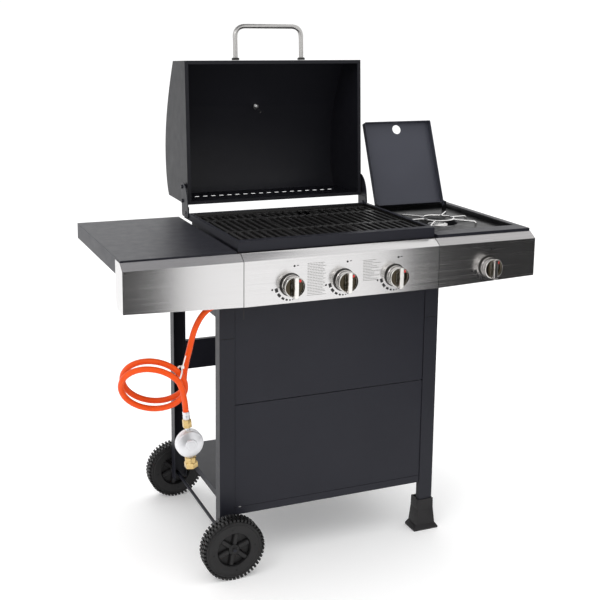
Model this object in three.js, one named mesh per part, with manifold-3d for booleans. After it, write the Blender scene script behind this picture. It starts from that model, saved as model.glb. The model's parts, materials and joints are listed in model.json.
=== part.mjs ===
// Gas barbecue grill on a two-wheeled cart: three burners under a swung-back lid, a side
// burner on the right shelf and a hose with its regulator hanging at the left.
// Millimetres, +Z up, the front faces -Y, the floor is z = 0.
import * as THREE from 'three';
import { mergeVertices } from 'three/addons/utils/BufferGeometryUtils.js';
import Module from 'manifold-3d';

const wasm = await Module();
wasm.setup();

// ---- driving dimensions ------------------------------------------------------------
const CENTRE_Y = 287.2; // from the fascia's front plane to the middle of the whole depth
const GAP = 0.3; // kept between pieces that touch
const SHEET = 1.5; // pressed steel of the frame and firebox
const THIN = 1.2; // folded steel of shelves, panels and fascias

const LEG_OUT = 276; // half width over the legs
const LEG_WIDE = 36;
const LEG_DEEP = 30;
const LEG_LIP = 15; // depth of the shorter fold, on the cart's inner side
const LEG_IN = LEG_OUT - LEG_WIDE;
const LEG_FRONT_Y = 58;
const LEG_BACK_Y = 451;
const LEG_TOP = 700;
const LEFT_LEG_FOOT = 60;
const RIGHT_LEG_FOOT = 30;

const AXLE_X = -262;
const AXLE_R = 4;
const WHEEL_R = 72;
const WHEEL_WIDE = 34;
const WHEEL_FRONT_Y = 14;
const WHEEL_REAR_Y = 477;

const SHELF_TOP = 142; // bottle shelf at the foot of the cart
const SHELF_DEEP = 18;
const PANEL_SEAM = 388;

const BOX_HALF = 236; // firebox tub, half width
const BOX_FRONT = 50;
const BOX_BACK = 387.5;
const BOX_BOTTOM = 630;
const RIM_TOP = 769;
const RIM_HALF = 243;
const RIM_FRONT = 31;
const RIM_BACK = 392;
const GRATE_LEDGE = 748;
const TAMER_LEDGE = 698.5;

const FASCIA_HALF = 240;
const FASCIA_END = 504;
const FASCIA_BOTTOM = 630.5;
const FASCIA_END_BOTTOM = 640;
const CREASE_Z = 731;
const BEVEL_Y = 22;
const BEVEL_TOP = 745;

const SIDE_SHELF_IN = 247.5;
const SIDE_SHELF_OUT = FASCIA_END - THIN - GAP;

const BURNER_X = [-132, -4, 124];
const SIDE_KNOB_X = 373;
const GAS_Z = 672; // height of the knobs, valves and burners
const PIPE_Y = 22;
const PIPE_Z = 640;
const PIPE_R = 9;
const STEM_R = 4;

const PIVOT_Y = 408; // lid hinge line
const PIVOT_Z = 768;
const LID_OPEN = THREE.MathUtils.degToRad(-93.3); // from closed to the open rest
const LID_HALF = 238;
const ARM_X = 243.6;
const ARM_THICK = 2;
const PIN_R = 4;

const COOKER_X = 361; // side burner
const COOKER_Y = 219;
const PAN_FLOOR = 739.5;
const WIRE_Z = 750; // the trivet's top wires
const COVER_Y = 360; // side lid's hinge line
const COVER_Z = 758.5;
const COVER_OPEN = THREE.MathUtils.degToRad(-112.4);
const COVER_HALF = 99.5;
const COVER_LONG = 228;

const HOSE_R = 6.5;

// ---- finishes ----------------------------------------------------------------------
const finish = (color, roughness, metalness) =>
  () => new THREE.MeshStandardMaterial({ color, roughness, metalness });
const powderBlack = finish(0x33343a, 0.55, 0.2);
const satinSteel = finish(0xc9c7c4, 0.3, 1);
const chrome = finish(0xe6e6e8, 0.1, 1);
const castIron = finish(0x1b1b1c, 0.75, 0.3);
const enamel = finish(0x151517, 0.3, 0.1);
const blackPlastic = finish(0x2b2b2d, 0.6, 0);
const brass = finish(0xc9a658, 0.3, 1);
const zincAlloy = finish(0xd8d9dc, 0.4, 0.9);
const orangeRubber = finish(0xf0561c, 0.5, 0);

// ---- solids ------------------------------------------------------------------------
// A geometry with shared corners and no collapsed triangles.
function weld(geometry) {
  const bare = geometry.clone();
  bare.deleteAttribute('normal');
  bare.deleteAttribute('uv');
  const merged = mergeVertices(bare, 1e-3);
  const kept = [];
  const index = merged.index.array;
  for (let i = 0; i < index.length; i += 3) {
    const [a, b, c] = [index[i], index[i + 1], index[i + 2]];
    if (a !== b && b !== c && a !== c) kept.push(a, b, c);
  }
  merged.setIndex(kept);
  return merged;
}

function toSolid(geometry) {
  const welded = weld(geometry);
  return new wasm.Manifold(new wasm.Mesh({
    numProp: 3,
    vertProperties: new Float32Array(welded.attributes.position.array),
    triVerts: new Uint32Array(welded.index.array),
  }));
}

function toGeometry(solid) {
  const { vertProperties, triVerts } = solid.getMesh();
  const geometry = new THREE.BufferGeometry();
  geometry.setAttribute('position', new THREE.BufferAttribute(vertProperties, 3));
  geometry.setIndex(new THREE.BufferAttribute(triVerts, 1));
  return geometry;
}

const join = (first, ...rest) =>
  toGeometry(rest.reduce((sum, g) => sum.add(toSolid(g)), toSolid(first)));
const cut = (first, ...rest) =>
  toGeometry(rest.reduce((sum, g) => sum.subtract(toSolid(g)), toSolid(first)));

function box(x0, x1, y0, y1, z0, z1) {
  const g = new THREE.BoxGeometry(x1 - x0, y1 - y0, z1 - z0);
  return g.translate((x0 + x1) / 2, (y0 + y1) / 2, (z0 + z1) / 2);
}

function extrude(outline, depth) {
  const shape = outline instanceof THREE.Shape
    ? outline
    : new THREE.Shape(outline.map(([u, v]) => new THREE.Vector2(u, v)));
  return new THREE.ExtrudeGeometry(shape, { depth, bevelEnabled: false, curveSegments: 10 });
}

// A (y, z) outline carried along X from x0 to x1.
function prismX(outline, x0, x1) {
  const turn = new THREE.Matrix4().set(0, 0, 1, x0, 1, 0, 0, 0, 0, 1, 0, 0, 0, 0, 0, 1);
  return extrude(outline, x1 - x0).applyMatrix4(turn);
}

// An (x, z) outline carried along Y from y0 to y1.
const prismY = (outline, y0, y1) =>
  extrude(outline, y1 - y0).rotateX(Math.PI / 2).translate(0, y1, 0);

// An (x, y) outline carried up from z0 to z1.
const prismZ = (outline, z0, z1) => extrude(outline, z1 - z0).translate(0, 0, z0);

// Rounds along an axis. A profile is a list of [radius, station] from one pole to the other.
const turned = (profile, segments = 24) =>
  new THREE.LatheGeometry(profile.map(([r, s]) => new THREE.Vector2(r, s)), segments);
const turnedZ = (profile, segments) => turned(profile, segments).rotateX(Math.PI / 2);
const turnedY = turned;
const turnedX = (profile, segments) => turned(profile, segments).rotateZ(-Math.PI / 2);
const rod = (r, s0, s1) => [[0, s0], [r, s0], [r, s1], [0, s1]];

// A round or square bar carried along a curve.
function sweep(curve, radius, sides, steps) {
  const ring = new THREE.Shape();
  ring.absarc(0, 0, radius, 0, Math.PI * 2);
  const outline = new THREE.Shape(ring.getSpacedPoints(sides).slice(0, sides));
  return new THREE.ExtrudeGeometry(outline, { steps, bevelEnabled: false, extrudePath: curve });
}

// A path of straight runs whose corners are rounded to about the given radius.
function roundedPath(points, radius) {
  const path = new THREE.CurvePath();
  let from = points[0];
  for (let i = 1; i < points.length - 1; i++) {
    const corner = points[i];
    const inward = from.clone().sub(corner).setLength(radius).add(corner);
    const outward = points[i + 1].clone().sub(corner).setLength(radius).add(corner);
    path.add(new THREE.LineCurve3(from, inward));
    path.add(new THREE.QuadraticBezierCurve3(inward, corner, outward));
    from = outward;
  }
  path.add(new THREE.LineCurve3(from, points[points.length - 1]));
  return path;
}

const at = (x, y, z) => new THREE.Vector3(x, y, z);
const mirrorX = (geometry) => {
  const flipped = weld(geometry).scale(-1, 1, 1);
  const index = flipped.index.array;
  for (let i = 0; i < index.length; i += 3) {
    [index[i], index[i + 1]] = [index[i + 1], index[i]];
  }
  return flipped;
};
const sided = (side, geometry) => (side < 0 ? mirrorX(geometry) : geometry);

// A shallow box of folded sheet, open on the face that "open" names.
function pan(x0, x1, y0, y1, z0, z1, t, open) {
  const over = t * 4;
  const inner = {
    top: [x0 + t, x1 - t, y0 + t, y1 - t, z0 + t, z1 + over],
    bottom: [x0 + t, x1 - t, y0 + t, y1 - t, z0 - over, z1 - t],
    back: [x0 + t, x1 - t, y0 + t, y1 + over, z0 + t, z1 - t],
  }[open];
  return cut(box(x0, x1, y0, y1, z0, z1), box(...inner));
}

const grill = new THREE.Group();
grill.position.y = -CENTRE_Y;

function add(name, geometry, material, parent = grill) {
  const mesh = new THREE.Mesh(weld(geometry), material());
  mesh.name = name;
  parent.add(mesh);
  return mesh;
}

// ---- cart --------------------------------------------------------------------------
// A leg is a channel of folded sheet, open towards the middle of the cart, with a deep outer
// fold and a shallow inner one.
function leg(side, isFront) {
  const bottom = side < 0 ? LEFT_LEG_FOOT : RIGHT_LEG_FOOT;
  const y0 = isFront ? LEG_FRONT_Y : LEG_BACK_Y - LEG_DEEP;
  const y1 = y0 + LEG_DEEP;
  const hollow = isFront ? [y0 + SHEET, y1 + 5] : [y0 - 5, y1 - SHEET];
  const beyondLip = isFront ? [y0 + LEG_LIP, y1 + 5] : [y0 - 5, y1 - LEG_LIP];
  const channel = cut(box(LEG_IN, LEG_OUT, y0, y1, bottom, LEG_TOP),
    box(LEG_IN + SHEET, LEG_OUT - SHEET, ...hollow, bottom - 5, LEG_TOP + 5),
    box(LEG_IN - 5, LEG_IN + 5, ...beyondLip, bottom - 5, LEG_TOP + 5));
  if (side > 0) return channel;
  const axleHole = turnedY(rod(AXLE_R + GAP, y0 - 5, y1 + 5), 16);
  return cut(mirrorX(channel), axleHole.translate(AXLE_X, 0, WHEEL_R));
}

// A block whose top and bottom rectangles differ: [half x, low y, high y] of each.
function tapered([bx, by0, by1], [tx, ty0, ty1], z0, z1) {
  const g = new THREE.BoxGeometry(1, 1, 1);
  const p = g.attributes.position;
  for (let i = 0; i < p.count; i++) {
    const [half, y0, y1, z] = p.getZ(i) > 0 ? [tx, ty0, ty1, z1] : [bx, by0, by1, z0];
    p.setXYZ(i, Math.sign(p.getX(i)) * half, p.getY(i) > 0 ? y1 : y0, z);
  }
  return g;
}

// A moulded shoe that the right legs stand in, flared to a wide base.
const FOOT_TOP = 78;
function foot(isFront) {
  const x = LEG_OUT - LEG_WIDE / 2;
  const y = (isFront ? LEG_FRONT_Y : LEG_BACK_Y - LEG_DEEP) + LEG_DEEP / 2;
  const shoe = join(
    tapered([33, -25, 23], [33, -25, 23], 0, 5),
    tapered([33, -25, 23], [27, -21, 20], 4.5, 13),
    tapered([26, -20.5, 19.5], [21.5, -18, 18], 12.5, 52),
    tapered([21.5, -18, 18], [21, -17.5, 17.5], 51.5, FOOT_TOP));
  const socket = box(-LEG_WIDE / 2 - GAP, LEG_WIDE / 2 + GAP, -LEG_DEEP / 2 - GAP,
    LEG_DEEP / 2 + GAP, RIGHT_LEG_FOOT - GAP, FOOT_TOP + 5);
  return cut(shoe, socket).translate(x, y, 0);
}

for (const [side, sideName] of [[-1, 'left'], [1, 'right']]) {
  add(`leg_front_${sideName}`, leg(side, true), powderBlack);
  add(`leg_back_${sideName}`, leg(side, false), powderBlack);
}
add('foot_front_right', foot(true), blackPlastic);
add('foot_back_right', foot(false), blackPlastic);

const INFILL = LEG_IN - 0.5; // half width of what fits between the legs
add('front_panel_lower',
  pan(-INFILL, INFILL, 60, 75, SHELF_TOP + 0.5, PANEL_SEAM - 0.75, THIN, 'back'), powderBlack);
add('front_panel_upper',
  pan(-INFILL, INFILL, 60, 75, PANEL_SEAM + 0.75, 625, THIN, 'back'), powderBlack);
add('back_rail', pan(-INFILL, INFILL, 437, 450, 354, 430, SHEET, 'back'), powderBlack);

// The bottle shelf: a folded tray whose edges turn down, widened between the legs.
function bottomShelf() {
  const z0 = SHELF_TOP - SHELF_DEEP;
  const wing = [LEG_FRONT_Y + LEG_DEEP + 3, LEG_BACK_Y - LEG_DEEP - 3];
  const outer = join(box(-INFILL, INFILL, 60, 458, z0, SHELF_TOP),
    box(-250, 250, ...wing, z0, SHELF_TOP));
  const inner = join(
    box(-INFILL + THIN, INFILL - THIN, 60 + THIN, 458 - THIN, z0 - 5, SHELF_TOP - THIN),
    box(-250 + THIN, 250 - THIN, wing[0] + THIN, wing[1] - THIN, z0 - 5, SHELF_TOP - THIN));
  return cut(outer, inner);
}
add('bottom_shelf', bottomShelf(), powderBlack);

// Top rails join the legs front to back; the firebox sits on their upper ledge and the
// grease tray slides on the lower one.
const RAIL_TOP = BOX_BOTTOM - GAP;
const TRAY_LEDGE = 591.5;
function sideRail(side) {
  const profile = [
    [LEG_OUT, RAIL_TOP], [222, RAIL_TOP], [222, RAIL_TOP - SHEET],
    [LEG_OUT - SHEET, RAIL_TOP - SHEET], [LEG_OUT - SHEET, TRAY_LEDGE],
    [207, TRAY_LEDGE], [207, TRAY_LEDGE - SHEET], [LEG_OUT, TRAY_LEDGE - SHEET],
  ];
  const rail = prismY(profile, LEG_FRONT_Y + LEG_DEEP + GAP, LEG_BACK_Y - LEG_DEEP - GAP);
  return sided(side, rail);
}
add('side_rail_left', sideRail(-1), powderBlack);
add('side_rail_right', sideRail(1), powderBlack);

function greaseTray() {
  const dish = pan(-204, 204, 100, 405, 572, TRAY_LEDGE + GAP + THIN, THIN, 'top');
  const lip = TRAY_LEDGE + GAP;
  return join(dish, box(-219, -203, 100, 405, lip, lip + THIN),
    box(203, 219, 100, 405, lip, lip + THIN), box(-30, 30, 404, 424, lip, lip + THIN));
}
add('grease_tray', greaseTray(), satinSteel);

// ---- axle and wheels ---------------------------------------------------------------
const wheelEdge = WHEEL_WIDE / 2;
add('axle_rod',
  turnedY(rod(AXLE_R, WHEEL_FRONT_Y - wheelEdge - 3, WHEEL_REAR_Y + wheelEdge + 3), 16)
    .translate(AXLE_X, 0, WHEEL_R), powderBlack);

// One moulded wheel: tread ring, thin disc and a thick hub with the axle's bore.
function wheel(y) {
  const bore = AXLE_R + GAP;
  const profile = [
    [bore, -15], [16, -15], [18, -5], [48, -5], [52, -wheelEdge + 1], [64, -wheelEdge],
    [WHEEL_R - 1, -wheelEdge + 6], [WHEEL_R, 0], [WHEEL_R - 1, wheelEdge - 6],
    [64, wheelEdge], [52, wheelEdge - 1], [48, 5], [18, 5], [16, 15], [bore, 15], [bore, -15],
  ];
  return turnedY(profile, 36).translate(AXLE_X, y, WHEEL_R);
}
add('wheel_front', wheel(WHEEL_FRONT_Y), blackPlastic);
add('wheel_rear', wheel(WHEEL_REAR_Y), blackPlastic);

// ---- firebox -----------------------------------------------------------------------
function firebox() {
  const inX = BOX_HALF - SHEET;
  const inY = [BOX_FRONT + SHEET, BOX_BACK - SHEET];
  const under = RIM_TOP - SHEET;
  const plate = [
    box(-RIM_HALF, RIM_HALF, RIM_FRONT, RIM_BACK, under, RIM_TOP),
    box(-BOX_HALF, BOX_HALF, BOX_FRONT, BOX_BACK, BOX_BOTTOM, RIM_TOP),
    box(-RIM_HALF, RIM_HALF, RIM_FRONT, RIM_FRONT + SHEET, 746, RIM_TOP),
    box(-RIM_HALF, -RIM_HALF + SHEET, RIM_FRONT, 428, 752, RIM_TOP),
    box(RIM_HALF - SHEET, RIM_HALF, RIM_FRONT, 428, 752, RIM_TOP),
    box(-RIM_HALF, -RIM_HALF + SHEET, 391, 428, 752, 784),
    box(RIM_HALF - SHEET, RIM_HALF, 391, 428, 752, 784),
  ];
  const room = box(-inX, inX, ...inY, BOX_BOTTOM + SHEET, RIM_TOP + 5);
  const ledges = [
    box(-inX - 0.5, inX + 0.5, inY[0] - 0.5, inY[0] + 9, GRATE_LEDGE - SHEET, GRATE_LEDGE),
    box(-inX - 0.5, inX + 0.5, inY[1] - 9, inY[1] + 0.5, GRATE_LEDGE - SHEET, GRATE_LEDGE),
    box(-inX - 0.5, inX + 0.5, inY[0] - 0.5, inY[0] + 9, TAMER_LEDGE - SHEET, TAMER_LEDGE),
    box(-inX - 0.5, inX + 0.5, inY[1] - 9, inY[1] + 0.5, TAMER_LEDGE - SHEET, TAMER_LEDGE),
  ];
  const pinHole = turnedX(rod(PIN_R + GAP, -260, 260), 16).translate(0, PIVOT_Y, PIVOT_Z);
  const drain = box(-150, 150, 130, 330, BOX_BOTTOM - 5, BOX_BOTTOM + 5);
  const burnerHoles = BURNER_X.map((x) =>
    turnedY(rod(13.2, BOX_FRONT - 5, BOX_FRONT + 8), 20).translate(x, 0, GAS_Z));
  return cut(join(cut(join(...plate), room), ...ledges), drain, pinHole, ...burnerHoles);
}
add('firebox', firebox(), powderBlack);

// A cast grate: nine bars front to back, two cross bars and two end bars.
const GRATE_WIDE = 155.6;
function grate(x0) {
  const [front, back] = [BOX_FRONT + SHEET + 0.8, BOX_BACK - SHEET - 0.8];
  const bars = 9;
  const barWide = 7.5;
  const pitch = (GRATE_WIDE - barWide) / (bars - 1);
  const windows = [];
  for (let i = 0; i < bars - 1; i++) {
    const x = x0 + i * pitch;
    for (const [y0, y1] of [[front + 12, 167], [177, 310], [320, back - 12]]) {
      windows.push(box(x + barWide, x + pitch, y0, y1, GRATE_LEDGE - 5, 770));
    }
  }
  return cut(box(x0, x0 + GRATE_WIDE, front, back, GRATE_LEDGE + GAP, 762), ...windows);
}
['left', 'middle', 'right'].forEach((name, i) => {
  add(`grate_${name}`, grate(-234 + i * (GRATE_WIDE + 0.6)), castIron);
});

// A flame tamer is a bent roof of sheet over each burner.
function flameTamer(x) {
  const z = TAMER_LEDGE + GAP;
  const roof = [[-38, z], [0, z + 24], [38, z], [36.4, z], [0, z + 22.6], [-36.4, z]];
  return prismY(roof.reverse(), 53, 384.5).translate(x, 0, 0);
}

// A burner is a steel tube, open at the valve and closed at the far end.
function burnerTube(x) {
  const profile = [[11.5, 48], [12.5, 48], [12.5, 374], [0, 374], [0, 373], [11.5, 373], [11.5, 48]];
  return turnedY(profile, 20).translate(x, 0, GAS_Z);
}
['left', 'middle', 'right'].forEach((name, i) => {
  add(`flame_tamer_${name}`, flameTamer(BURNER_X[i]), satinSteel);
  add(`burner_tube_${name}`, burnerTube(BURNER_X[i]), satinSteel);
});

// ---- gas train ---------------------------------------------------------------------
const INLET_X = -216;
add('gas_manifold', join(
  turnedX(rod(PIPE_R, -190, SIDE_KNOB_X + 14), 20).translate(0, PIPE_Y, PIPE_Z),
  turnedX(rod(7, INLET_X, -189), 20).translate(0, PIPE_Y, PIPE_Z),
  turnedX(rod(12, -208, -195), 6).translate(0, PIPE_Y, PIPE_Z)), satinSteel);

// A valve stands on the manifold: stem bore at the front, jet at the back.
function valve(x) {
  const body = turnedY([
    [STEM_R + GAP, 4], [13, 4], [13, 38], [5, 38], [5, 47], [0, 47], [0, 21], [STEM_R + GAP, 21],
    [STEM_R + GAP, 4],
  ], 20).translate(0, 0, GAS_Z);
  const shank = turnedZ(rod(7, PIPE_Z + PIPE_R + GAP, GAS_Z - 6), 16).translate(0, PIPE_Y, 0);
  const bore = turnedY(rod(STEM_R + GAP, 2, 21), 20).translate(0, 0, GAS_Z);
  return cut(join(body, shank), bore).translate(x, 0, 0);
}

const stem = (x) => turnedY(rod(STEM_R, -28, 17), 16).translate(x, 0, GAS_Z);

// A round knob with a grip bar standing across its face.
function knob(x) {
  const drum = turnedY([[0, -28], [21, -28], [23, -26], [24, -12], [24, -4], [0, -4]], 28);
  const grip = box(-5, 5, -37, -26, -22.5, 22.5);
  const bore = turnedY(rod(STEM_R + GAP, -28.5, 0), 16);
  return cut(join(drum, grip), bore).translate(x, 0, GAS_Z);
}

[...BURNER_X, SIDE_KNOB_X].forEach((x, i) => {
  const name = ['left', 'middle', 'right', 'side'][i];
  add(`valve_${name}`, valve(x), brass);
  add(`stem_${name}`, stem(x), satinSteel);
  add(`knob_${name}`, knob(x), chrome);
});

// ---- control panel and fascias -----------------------------------------------------
const stemHole = (x) => turnedY(rod(8, -5, 5), 20).translate(x, 0, GAS_Z);
const FACE = [[0, 600], [0, CREASE_Z], [BEVEL_Y, BEVEL_TOP], [BEVEL_Y, 600]];
const FACE_BACK = [
  [THIN, 595], [THIN, CREASE_Z - 0.8], [BEVEL_Y - 0.3, BEVEL_TOP - 1.4], [BEVEL_Y + 5, BEVEL_TOP],
  [BEVEL_Y + 5, 595],
];

function controlPanel() {
  const half = FASCIA_HALF - GAP;
  const face = cut(prismX([...FACE].reverse(), -half, half),
    prismX([...FACE_BACK].reverse(), -half - 5, half + 5),
    box(-300, 300, -5, 40, 590, FASCIA_BOTTOM));
  const top = box(-half, half, BEVEL_Y - 1.2, 30, BEVEL_TOP - THIN, BEVEL_TOP);
  return cut(join(face, top), ...BURNER_X.map(stemHole));
}
add('control_panel', controlPanel(), satinSteel);

// A shelf's fascia: front, bevel and a rounded return at the outer end. Its lower edge
// climbs towards the outer end.
function fascia() {
  const [x0, x1] = [FASCIA_HALF + GAP, FASCIA_END];
  const front = cut(prismX([...FACE].reverse(), x0, x1),
    prismX([...FACE_BACK].reverse(), x0 - 5, x1 + 5));
  const side = new THREE.Shape();
  side.moveTo(0, 600);
  side.lineTo(44, 600);
  side.lineTo(44, 637);
  side.quadraticCurveTo(60, 640, 61, 664);
  side.lineTo(61, BEVEL_TOP);
  side.lineTo(BEVEL_Y, BEVEL_TOP);
  side.lineTo(0, CREASE_Z);
  const cap = prismX(side, x1 - THIN, x1);
  const below = prismY([[x0 - 5, FASCIA_BOTTOM], [x0 - 5, 580], [x1 + 5, 580],
    [x1 + 5, FASCIA_END_BOTTOM]], -10, 80);
  return cut(join(front, cap), below);
}
add('left_fascia', mirrorX(fascia()), satinSteel);
add('right_fascia', cut(fascia(), stemHole(SIDE_KNOB_X)), satinSteel);

// ---- side shelves ------------------------------------------------------------------
const SHELF_FRONT = BEVEL_Y + 1;
add('left_shelf',
  pan(-SIDE_SHELF_OUT, -SIDE_SHELF_IN, SHELF_FRONT, 461, 712, 749, THIN, 'bottom'), powderBlack);

// The right shelf is a frame round the cooker's pan, with a ledge that carries it.
const PAN = [259, 487, 68, 407];
function sideBurnerFrame() {
  const [x0, x1, y0, y1] = PAN;
  const shell = pan(SIDE_SHELF_IN, SIDE_SHELF_OUT, SHELF_FRONT, 418, 712, 752, THIN, 'bottom');
  const ledge = cut(box(SIDE_SHELF_IN + 0.5, SIDE_SHELF_OUT - 0.5, SHELF_FRONT + 0.5, 417.5,
    PAN_FLOOR - 2 * THIN - GAP, PAN_FLOOR - THIN - GAP),
  box(x0 + 9, x1 - 9, y0 + 9, y1 - 9, 700, 760));
  return join(cut(shell, box(x0, x1, y0, y1, 740, 760)), ledge);
}
add('side_burner_frame', sideBurnerFrame(), powderBlack);

// The cooker's enamelled pan, with a round well at the burner and two ears for the lid.
const WELL_R = 52;
const WELL_FLOOR = 708;
function sideBurnerPan() {
  const [x0, x1, y0, y1] = PAN;
  const floor = PAN_FLOOR - THIN;
  const dish = pan(x0 + GAP, x1 - GAP, y0 + GAP, y1 - GAP, floor, 750, THIN, 'top');
  const well = turnedZ([
    [20, WELL_FLOOR], [43, WELL_FLOOR], [WELL_R, floor], [WELL_R, PAN_FLOOR],
    [WELL_R - 1.5, PAN_FLOOR], [42, WELL_FLOOR + THIN], [20, WELL_FLOOR + THIN], [20, WELL_FLOOR],
  ], 28).translate(COOKER_X, COOKER_Y, 0);
  const hole = turnedZ(rod(WELL_R - 1, 730, 745), 28).translate(COOKER_X, COOKER_Y, 0);
  const ears = [-1, 1].map((side) => {
    const inner = COOKER_X + side * (COVER_HALF + 0.6);
    const outer = inner + side * SHEET;
    return box(Math.min(inner, outer), Math.max(inner, outer), COVER_Y - 10, COVER_Y + 10,
      floor, COVER_Z + 8);
  });
  const pins = turnedX(rod(3 + GAP, -110, 110), 16).translate(COOKER_X, COVER_Y, COVER_Z);
  return cut(join(cut(dish, hole), well, ...ears), pins);
}
add('side_burner_pan', sideBurnerPan(), enamel);

// Burner head on its bent mixing tube, which reaches forward to the side valve.
function sideBurnerHead() {
  const head = turnedZ([
    [0, 704], [16, 704], [17, 712], [30, 716], [32, 719], [32, 726], [27, 728], [25, 731],
    [20, 733], [0, 733.5],
  ], 28).translate(COOKER_X, COOKER_Y, 0);
  const tube = roundedPath([at(SIDE_KNOB_X, 48, GAS_Z), at(SIDE_KNOB_X - 2, 110, GAS_Z),
    at(COOKER_X, COOKER_Y, 684), at(COOKER_X, COOKER_Y, 710)], 20);
  return join(sweep(tube, 9, 12, 16), head);
}
add('side_burner_head', sideBurnerHead(), castIron);

// Pot support: a ring on six bent wire arms that stand on the pan's floor.
function trivet() {
  const top = WIRE_Z;
  const wire = 2.4;
  const ring = new THREE.TorusGeometry(40, wire, 8, 24).translate(COOKER_X, COOKER_Y, top);
  const reaches = [[0, 82], [48, 100], [130, 100], [180, 82], [230, 100], [312, 100]];
  const arms = reaches.map(([angle, reach]) => {
    const a = THREE.MathUtils.degToRad(angle);
    const spot = (r, z) => at(COOKER_X + r * Math.cos(a), COOKER_Y + r * Math.sin(a), z);
    const bend = roundedPath([spot(36, top), spot(reach, top), spot(reach, PAN_FLOOR + GAP)], 7);
    return sweep(bend, wire, 6, 12);
  });
  return join(ring, ...arms);
}
add('side_trivet', trivet(), chrome);

// ---- side lid ----------------------------------------------------------------------
// Drawn closed, with its hinge line at the group's origin, then swung open.
const cover = new THREE.Group();
cover.position.set(COOKER_X, COVER_Y, COVER_Z);
cover.rotation.x = COVER_OPEN;
grill.add(cover);

function roundedOutline(x0, x1, y0, y1, r) {
  const s = new THREE.Shape();
  s.moveTo(x0 + r, y0);
  s.lineTo(x1 - r, y0);
  s.absarc(x1 - r, y0 + r, r, -Math.PI / 2, 0);
  s.lineTo(x1, y1 - r);
  s.absarc(x1 - r, y1 - r, r, 0, Math.PI / 2);
  s.lineTo(x0 + r, y1);
  s.absarc(x0 + r, y1 - r, r, Math.PI / 2, Math.PI);
  s.lineTo(x0, y0 + r);
  s.absarc(x0 + r, y0 + r, r, Math.PI, Math.PI * 1.5);
  return s;
}

function sideLid() {
  const front = -5 - COVER_LONG;
  const corner = 3.5;
  const outer = prismZ(roundedOutline(-COVER_HALF, COVER_HALF, front, -5, corner), -2, 14);
  const inner = prismZ(roundedOutline(-COVER_HALF + THIN, COVER_HALF - THIN, front + THIN,
    -5 - THIN, corner - THIN), -7, 14 - THIN);
  const thumbHole = turnedZ(rod(12.5, 5, 20), 24).translate(0, front + 19, 0);
  const shell = cut(outer, inner, thumbHole);
  const knuckles = [-1, 1].map((side) => sided(side, join(
    box(COVER_HALF - THIN, COVER_HALF, -9, 4, -4, 8),
    turnedX(rod(3, COVER_HALF - THIN, COVER_HALF + 6), 16))));
  return join(shell, ...knuckles);
}
add('side_lid', sideLid(), powderBlack, cover);

// ---- main lid ----------------------------------------------------------------------
// Drawn closed, with the hinge line at the group's origin: y' runs forwards, z' up.
const lid = new THREE.Group();
lid.position.set(0, PIVOT_Y, PIVOT_Z);
lid.rotation.x = LID_OPEN;
grill.add(lid);

const LID_RIM = 2.8; // height of the lid's edge over the hinge line when closed
const LID_FRONT = -372;
const LID_BACK = -18.5;
const BROW = 105; // top of the upright front

// The lid's side outline, inset by t all round: upright front, swept roof, upright back.
function lidOutline(t) {
  const s = new THREE.Shape();
  s.moveTo(LID_FRONT + t, LID_RIM);
  s.lineTo(LID_FRONT - 1 + t, BROW - t * 0.6);
  s.bezierCurveTo(-300 + t * 0.5, 152 - t, -215, 196 - t, -130, 196 - t);
  s.bezierCurveTo(-90, 196 - t, -50, 190 - t, -27 - t, 173 - t);
  s.lineTo(LID_BACK - t, 46);
  s.lineTo(LID_BACK - t, LID_RIM);
  return s;
}

// A point of the roof's front sweep, with the direction that faces out of it.
const roofSweep = new THREE.CubicBezierCurve(new THREE.Vector2(LID_FRONT - 1, BROW),
  new THREE.Vector2(-300, 152), new THREE.Vector2(-215, 196), new THREE.Vector2(-130, 196));
const GAUGE_T = 0.5;
const GAUGE_X = 4;

function lidShell() {
  const outer = prismX(lidOutline(0), -LID_HALF, LID_HALF);
  const inner = prismX(lidOutline(SHEET), -LID_HALF + SHEET, LID_HALF - SHEET);
  const mouth = box(-LID_HALF + SHEET, LID_HALF - SHEET, LID_FRONT + SHEET, LID_BACK - SHEET,
    LID_RIM - 5, LID_RIM + 0.5);
  const lip = cut(box(-LID_HALF + 0.5, LID_HALF - 0.5, LID_FRONT + 0.5, LID_BACK - 0.5,
    LID_RIM, LID_RIM + SHEET),
  box(-LID_HALF + 9, LID_HALF - 9, LID_FRONT + 9, LID_BACK - 8, -5, 10));
  const slots = [];
  for (let i = 0; i < 19; i++) {
    const x = (i - 9) * 22.2;
    slots.push(box(x - 6.5, x + 6.5, -40, 0, 114, 128));
  }
  const p = roofSweep.getPoint(GAUGE_T);
  const gaugeHole = turnedZ(rod(5, -20, 20), 16).rotateX(gaugeLean())
    .translate(GAUGE_X, p.x, p.y);
  return cut(join(cut(outer, inner, mouth), lip), ...slots, gaugeHole);
}

function gaugeLean() {
  const along = roofSweep.getTangent(GAUGE_T);
  return Math.atan2(along.y, along.x);
}

// Dial on the outside, stem and nut on the inside of the roof.
function thermometer() {
  const p = roofSweep.getPoint(GAUGE_T);
  const profile = [
    [0, -46], [2.6, -46], [2.6, -14], [4.5, -13], [4.5, -10], [8, -10], [8, -3.2], [4.4, -3.2],
    [4.4, 1.2], [24, 1.2], [26, 4], [25, 11], [22, 12.5], [0, 12.5],
  ];
  return turnedZ(profile, 24).rotateX(gaugeLean()).translate(GAUGE_X, p.x, p.y);
}

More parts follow.
